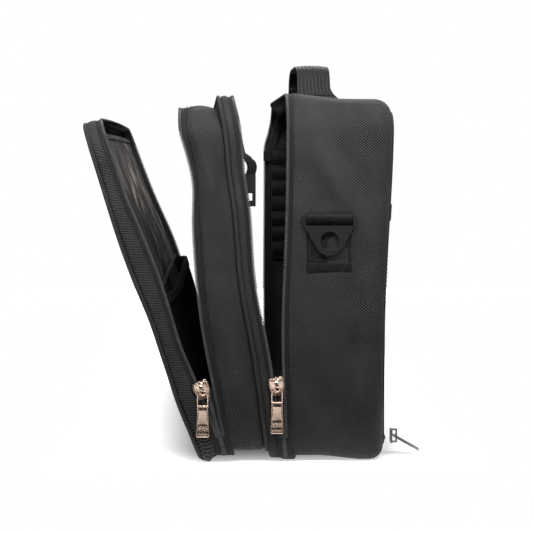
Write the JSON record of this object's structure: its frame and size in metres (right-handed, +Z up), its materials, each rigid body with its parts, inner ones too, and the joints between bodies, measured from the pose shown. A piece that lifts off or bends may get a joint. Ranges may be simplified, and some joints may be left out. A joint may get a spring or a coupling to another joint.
{
  "type": "flight bag",
  "caption": "Soft black flight bag standing open, with main compartment, hinged lid holding a front compartment, hinged front flap, zips, webbing handle and strap rings.",
  "frame": {"origin": "middle of the main compartment's base, on the floor", "axes": "+Z up, +X towards the back of the bag, Y along its length with the near end at -Y"},
  "size_m": [0.2851, 0.4372, 0.3458],
  "materials": {
    "shell_cloth": "black dobby-weave polyester cloth, lightly padded",
    "divider_cloth": "black plain-weave cloth over a stiffener",
    "webbing": "black ribbed polypropylene webbing and binding tape",
    "piping": "black cloth piping",
    "pocket_cloth": "black stretch mesh and lining",
    "zip_coil": "black nylon coil",
    "black_plastic": "satin black moulded acetal",
    "clear_film": "clear flexible vinyl film, glossy",
    "rose_metal": "polished rose-gold plated zinc",
    "steel_metal": "satin nickel plated zinc",
    "stiff_board": "black polypropylene board"
  },
  "bodies": {
    "main": {"main_gusset": "shell_cloth", "back_panel": "shell_cloth", "base_panel": "shell_cloth", "base_board": "stiff_board", "rim_binding": "webbing", "main_zip_tape": "webbing", "main_zip_coil": "zip_coil", "gear_loops": "webbing", "handle_strap": "webbing", "handle_patches": "webbing", "handle_wrap": "webbing", "ring_strap_near": "webbing", "ring_strap_far": "webbing", "back_pocket": "shell_cloth", "back_pocket_hem": "webbing", "back_zip_tape": "webbing", "rim_tab": "webbing", "lid_hinge_strip": "shell_cloth"},
    "lid": {"lid_gusset": "shell_cloth", "lid_band": "shell_cloth", "lid_divider": "divider_cloth", "lid_piping": "piping", "lid_zip_tape": "webbing", "lid_zip_coil": "zip_coil", "front_zip_tape": "webbing", "front_zip_coil": "zip_coil", "lid_tab": "webbing", "buckle_strap": "webbing"},
    "flap": {"flap_panel": "shell_cloth", "flap_band": "shell_cloth", "flap_piping": "piping", "flap_zip_tape": "webbing", "flap_zip_coil": "zip_coil", "flap_lining": "pocket_cloth", "clear_pocket": "clear_film", "pleated_pocket": "pocket_cloth", "flap_fold": "shell_cloth"},
    "ring_near": {"ring_near": "black_plastic"},
    "ring_far": {"ring_far": "black_plastic"},
    "buckle": {"buckle_socket": "black_plastic"},
    "back_slider": {"back_slider": "steel_metal"},
    "back_pull": {"back_pull": "steel_metal"},
    "main_slider_near": {"main_slider_near": "rose_metal"},
    "main_pull_near": {"main_pull_near": "rose_metal"},
    "front_slider_near": {"front_slider_near": "rose_metal"},
    "front_pull_near": {"front_pull_near": "rose_metal"},
    "main_slider_far": {"main_slider_far": "rose_metal"},
    "main_pull_far": {"main_pull_far": "rose_metal"},
    "front_slider_far": {"front_slider_far": "rose_metal"},
    "front_pull_far": {"front_pull_far": "rose_metal"}
  },
  "joints": [
    {"name": "lid_hinge", "type": "hinge", "parent": "main", "child": "lid", "pos_m": [-0.046, 0, 0.012], "axis": [0, -1, 0], "range_deg": [-7.4, 3]},
    {"name": "flap_hinge", "type": "hinge", "parent": "lid", "child": "flap", "pos_m": [-0.09883, 0, 0.015], "axis": [0, -1, 0], "range_deg": [-12.4, 60]},
    {"name": "main_zip_near", "type": "slide", "parent": "lid", "child": "main_slider_near", "axis": [-0.1288, 0, 0.9917], "range_m": [-0.036, 0.2]},
    {"name": "main_pull_swing_near", "type": "hinge", "parent": "main_slider_near", "child": "main_pull_near", "pos_m": [-0.05283, -0.2138, 0.06456], "axis": [-1, 0, 0], "range_deg": [-2, 130]},
    {"name": "front_zip_near", "type": "slide", "parent": "flap", "child": "front_slider_near", "axis": [-0.3387, 0, 0.9409], "range_m": [-0.033, 0.198]},
    {"name": "front_pull_swing_near", "type": "hinge", "parent": "front_slider_near", "child": "front_pull_near", "pos_m": [-0.11576, -0.2138, 0.06204], "axis": [-1, 0, 0], "range_deg": [-2, 130]},
    {"name": "ring_swing_near", "type": "hinge", "parent": "main", "child": "ring_near", "pos_m": [-0.009, -0.21432, 0.209], "axis": [-1, 0, 0], "range_deg": [0, 120]},
    {"name": "main_zip_far", "type": "slide", "parent": "lid", "child": "main_slider_far", "axis": [-0.1288, 0, 0.9917], "range_m": [-0.036, 0.2]},
    {"name": "main_pull_swing_far", "type": "hinge", "parent": "main_slider_far", "child": "main_pull_far", "pos_m": [-0.05283, 0.2138, 0.06456], "axis": [1, 0, 0], "range_deg": [-2, 130]},
    {"name": "front_zip_far", "type": "slide", "parent": "flap", "child": "front_slider_far", "axis": [-0.3387, 0, 0.9409], "range_m": [-0.033, 0.198]},
    {"name": "front_pull_swing_far", "type": "hinge", "parent": "front_slider_far", "child": "front_pull_far", "pos_m": [-0.11576, 0.2138, 0.06204], "axis": [1, 0, 0], "range_deg": [-2, 130]},
    {"name": "ring_swing_far", "type": "hinge", "parent": "main", "child": "ring_far", "pos_m": [-0.009, 0.21432, 0.209], "axis": [1, 0, 0], "range_deg": [0, 120]},
    {"name": "buckle_swing", "type": "hinge", "parent": "lid", "child": "buckle", "pos_m": [-0.07478, -0.19, 0.24524], "axis": [0, -1, 0], "range_deg": [-15, 35]},
    {"name": "back_zip", "type": "slide", "parent": "main", "child": "back_slider", "axis": [0, 1, 0], "range_m": [0, 0.36]},
    {"name": "back_pull_swing", "type": "hinge", "parent": "back_slider", "child": "back_pull", "pos_m": [0.0507, -0.186, 0.017], "axis": [0, -1, 0], "range_deg": [0, 105]}
  ]
}
